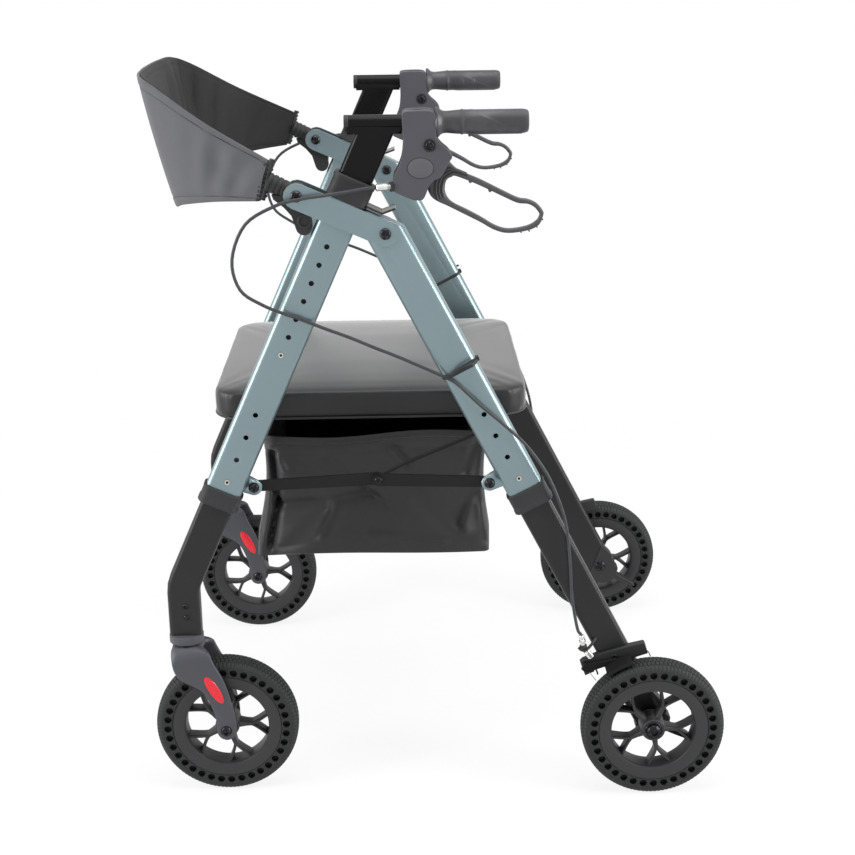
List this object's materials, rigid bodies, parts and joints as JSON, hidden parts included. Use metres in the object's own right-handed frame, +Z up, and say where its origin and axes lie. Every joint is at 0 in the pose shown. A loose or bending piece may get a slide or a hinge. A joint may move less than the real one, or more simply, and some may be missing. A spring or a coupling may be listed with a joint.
{
  "type": "rollator",
  "caption": "Folding walking frame on wheels with a padded seat, backrest strap, cloth bag, height-set handles and legs, and hand brakes.",
  "frame": {"origin": "on the floor, on the centre plane, midway between the front and the rear wheels' axles", "axes": "+Z up, -Y the way the user walks, +X the user's left"},
  "size_m": [0.6648, 0.795, 0.9891],
  "materials": {
    "blue_grey_paint": "satin",
    "black_anodised": "satin",
    "charcoal_plastic": "matte",
    "black_rubber": "matte",
    "black_tyre": "matte",
    "black_vinyl": "satin",
    "black_nylon": "matte",
    "grey_fabric": "matte",
    "zinc": "satin"
  },
  "bodies": {
    "front_frame": {"front_tube_left": "blue_grey_paint", "handle_collar_left": "charcoal_plastic", "front_leg_collar_left": "charcoal_plastic", "side_plates_left": "blue_grey_paint", "brake_cable_upper_left": "black_rubber", "brake_cable_middle_left": "black_rubber", "front_tube_right": "blue_grey_paint", "handle_collar_right": "charcoal_plastic", "front_leg_collar_right": "charcoal_plastic", "side_plates_right": "blue_grey_paint", "brake_cable_upper_right": "black_rubber", "brake_cable_middle_right": "black_rubber", "front_cross_bar": "black_anodised", "bag": "black_nylon"},
    "rear_frame": {"rear_tube_left": "blue_grey_paint", "rear_leg_collar_left": "charcoal_plastic", "brake_cable_lower_left": "black_rubber", "rear_tube_right": "blue_grey_paint", "rear_leg_collar_right": "charcoal_plastic", "brake_cable_lower_right": "black_rubber", "rear_cross_bar": "black_anodised"},
    "seat": {"seat_pan": "charcoal_plastic", "seat_cushion": "black_vinyl"},
    "backrest": {"backrest_strap": "grey_fabric", "backrest_bracket_left": "charcoal_plastic", "backrest_bracket_right": "charcoal_plastic"},
    "handle_left": {"handle_left": "black_anodised", "grip_left": "black_rubber", "brake_housing_left": "charcoal_plastic"},
    "brake_lever_left": {"brake_lever_left": "charcoal_plastic"},
    "front_leg_left": {"front_leg_left": "black_anodised"},
    "caster_fork_left": {"caster_fork_left": "charcoal_plastic"},
    "front_wheel_left": {"front_rim_left": "charcoal_plastic", "front_tyre_left": "black_tyre"},
    "rear_leg_left": {"rear_leg_left": "black_anodised"},
    "rear_wheel_left": {"rear_rim_left": "charcoal_plastic", "rear_tyre_left": "black_tyre"},
    "brake_shoe_left": {"brake_shoe_left": "charcoal_plastic"},
    "strut_front_link_left": {"strut_front_link_left": "black_anodised"},
    "strut_rear_link_left": {"strut_rear_link_left": "black_anodised"},
    "front_leg_button_left": {"front_leg_button_left": "zinc"},
    "handle_button_left": {"handle_button_left": "zinc"},
    "rear_leg_button_left": {"rear_leg_button_left": "zinc"},
    "handle_right": {"handle_right": "black_anodised", "grip_right": "black_rubber", "brake_housing_right": "charcoal_plastic"},
    "brake_lever_right": {"brake_lever_right": "charcoal_plastic"},
    "front_leg_right": {"front_leg_right": "black_anodised"},
    "caster_fork_right": {"caster_fork_right": "charcoal_plastic"},
    "front_wheel_right": {"front_rim_right": "charcoal_plastic", "front_tyre_right": "black_tyre"},
    "rear_leg_right": {"rear_leg_right": "black_anodised"},
    "rear_wheel_right": {"rear_rim_right": "charcoal_plastic", "rear_tyre_right": "black_tyre"},
    "brake_shoe_right": {"brake_shoe_right": "charcoal_plastic"},
    "strut_front_link_right": {"strut_front_link_right": "black_anodised"},
    "strut_rear_link_right": {"strut_rear_link_right": "black_anodised"},
    "front_leg_button_right": {"front_leg_button_right": "zinc"},
    "handle_button_right": {"handle_button_right": "zinc"},
    "rear_leg_button_right": {"rear_leg_button_right": "zinc"}
  },
  "joints": [
    {"name": "frame_fold", "type": "hinge", "parent": "front_frame", "child": "rear_frame", "pos_m": [0, -0.0613, 0.797], "axis": [-1, 0, 0], "range_deg": [0, 30], "deforming": ["bag", "brake_cable_middle_left", "brake_cable_middle_right"]},
    {"name": "seat_lift", "type": "hinge", "parent": "front_frame", "child": "seat", "pos_m": [0, -0.25762, 0.5135], "axis": [1, 0, 0], "range_deg": [0, 51]},
    {"name": "backrest_flip", "type": "hinge", "parent": "front_frame", "child": "backrest", "pos_m": [0, -0.1734, 0.8467], "axis": [-1, 0, 0], "range_deg": [0, 60]},
    {"name": "strut_front_left", "type": "hinge", "parent": "front_frame", "child": "strut_front_link_left", "pos_m": [0.274, -0.2456, 0.4521], "axis": [1, 0, 0], "range_deg": [0, 48.5]},
    {"name": "strut_rear_left", "type": "hinge", "parent": "rear_frame", "child": "strut_rear_link_left", "pos_m": [0.274, 0.0722, 0.454], "axis": [-1, 0, 0], "range_deg": [0, 50]},
    {"name": "handle_height_left", "type": "slide", "parent": "front_frame", "child": "handle_left", "axis": [0, 0.4122, 0.9111], "range_m": [0, 0.156], "deforming": ["handle_button_left", "brake_cable_upper_left"]},
    {"name": "front_leg_height_left", "type": "slide", "parent": "front_frame", "child": "front_leg_left", "axis": [0, 0.4122, 0.9111], "range_m": [0, 0.102], "deforming": ["front_leg_button_left"]},
    {"name": "rear_leg_height_left", "type": "slide", "parent": "rear_frame", "child": "rear_leg_left", "axis": [0, -0.4582, 0.8889], "range_m": [0, 0.102], "deforming": ["rear_leg_button_left", "brake_cable_lower_left"]},
    {"name": "caster_swivel_left", "type": "hinge", "parent": "front_leg_left", "child": "caster_fork_left", "pos_m": [0.274, -0.349, 0.23], "axis": [0, 0, 1], "continuous": true},
    {"name": "front_wheel_spin_left", "type": "hinge", "parent": "caster_fork_left", "child": "front_wheel_left", "pos_m": [0.274, -0.298, 0.1], "axis": [1, 0, 0], "continuous": true},
    {"name": "rear_wheel_spin_left", "type": "hinge", "parent": "rear_leg_left", "child": "rear_wheel_left", "pos_m": [0.311, 0.298, 0.1], "axis": [1, 0, 0], "continuous": true},
    {"name": "brake_lever_left", "type": "hinge", "parent": "handle_left", "child": "brake_lever_left", "pos_m": [0.274, -0.0034, 0.9086], "axis": [1, 0, 0], "range_deg": [0, 18], "stiffness_Nm_per_rad": 0.8, "springref_deg": -5.73},
    {"name": "brake_shoe_left", "type": "hinge", "parent": "rear_leg_left", "child": "brake_shoe_left", "pos_m": [0.274, 0.1945, 0.18183], "axis": [1, 0, 0], "range_deg": [0, 2.2]},
    {"name": "handle_button_press_left", "type": "slide", "parent": "handle_left", "child": "handle_button_left", "axis": [-1, 0, 0], "range_m": [0, 0.0038], "stiffness_N_per_m": 300},
    {"name": "front_leg_button_press_left", "type": "slide", "parent": "front_leg_left", "child": "front_leg_button_left", "axis": [-1, 0, 0], "range_m": [0, 0.0038], "stiffness_N_per_m": 300},
    {"name": "rear_leg_button_press_left", "type": "slide", "parent": "rear_leg_left", "child": "rear_leg_button_left", "axis": [-1, 0, 0], "range_m": [0, 0.0038], "stiffness_N_per_m": 300},
    {"name": "strut_front_right", "type": "hinge", "parent": "front_frame", "child": "strut_front_link_right", "pos_m": [-0.274, -0.2456, 0.4521], "axis": [1, 0, 0], "range_deg": [0, 48.5]},
    {"name": "strut_rear_right", "type": "hinge", "parent": "rear_frame", "child": "strut_rear_link_right", "pos_m": [-0.274, 0.0722, 0.454], "axis": [-1, 0, 0], "range_deg": [0, 50]},
    {"name": "handle_height_right", "type": "slide", "parent": "front_frame", "child": "handle_right", "axis": [0, 0.4122, 0.9111], "range_m": [0, 0.156], "deforming": ["handle_button_right", "brake_cable_upper_right"]},
    {"name": "front_leg_height_right", "type": "slide", "parent": "front_frame", "child": "front_leg_right", "axis": [0, 0.4122, 0.9111], "range_m": [0, 0.102], "deforming": ["front_leg_button_right"]},
    {"name": "rear_leg_height_right", "type": "slide", "parent": "rear_frame", "child": "rear_leg_right", "axis": [0, -0.4582, 0.8889], "range_m": [0, 0.102], "deforming": ["rear_leg_button_right", "brake_cable_lower_right"]},
    {"name": "caster_swivel_right", "type": "hinge", "parent": "front_leg_right", "child": "caster_fork_right", "pos_m": [-0.274, -0.349, 0.23], "axis": [0, 0, 1], "continuous": true},
    {"name": "front_wheel_spin_right", "type": "hinge", "parent": "caster_fork_right", "child": "front_wheel_right", "pos_m": [-0.274, -0.298, 0.1], "axis": [1, 0, 0], "continuous": true},
    {"name": "rear_wheel_spin_right", "type": "hinge", "parent": "rear_leg_right", "child": "rear_wheel_right", "pos_m": [-0.311, 0.298, 0.1], "axis": [1, 0, 0], "continuous": true},
    {"name": "brake_lever_right", "type": "hinge", "parent": "handle_right", "child": "brake_lever_right", "pos_m": [-0.274, -0.0034, 0.9086], "axis": [1, 0, 0], "range_deg": [0, 18], "stiffness_Nm_per_rad": 0.8, "springref_deg": -5.73},
    {"name": "brake_shoe_right", "type": "hinge", "parent": "rear_leg_right", "child": "brake_shoe_right", "pos_m": [-0.274, 0.1945, 0.18183], "axis": [1, 0, 0], "range_deg": [0, 2.2]},
    {"name": "handle_button_press_right", "type": "slide", "parent": "handle_right", "child": "handle_button_right", "axis": [1, 0, 0], "range_m": [0, 0.0038], "stiffness_N_per_m": 300},
    {"name": "front_leg_button_press_right", "type": "slide", "parent": "front_leg_right", "child": "front_leg_button_right", "axis": [1, 0, 0], "range_m": [0, 0.0038], "stiffness_N_per_m": 300},
    {"name": "rear_leg_button_press_right", "type": "slide", "parent": "rear_leg_right", "child": "rear_leg_button_right", "axis": [1, 0, 0], "range_m": [0, 0.0038], "stiffness_N_per_m": 300}
  ],
  "couplings": [
    {"joint": "seat_lift", "follows": "frame_fold", "ratio": 1.69},
    {"joint": "strut_front_left", "follows": "frame_fold", "ratio": 1.6},
    {"joint": "strut_rear_left", "follows": "frame_fold", "ratio": 1.653},
    {"joint": "brake_shoe_left", "follows": "brake_lever_left", "ratio": 0.1222},
    {"joint": "strut_front_right", "follows": "frame_fold", "ratio": 1.6},
    {"joint": "strut_rear_right", "follows": "frame_fold", "ratio": 1.653},
    {"joint": "brake_shoe_right", "follows": "brake_lever_right", "ratio": 0.1222}
  ]
}
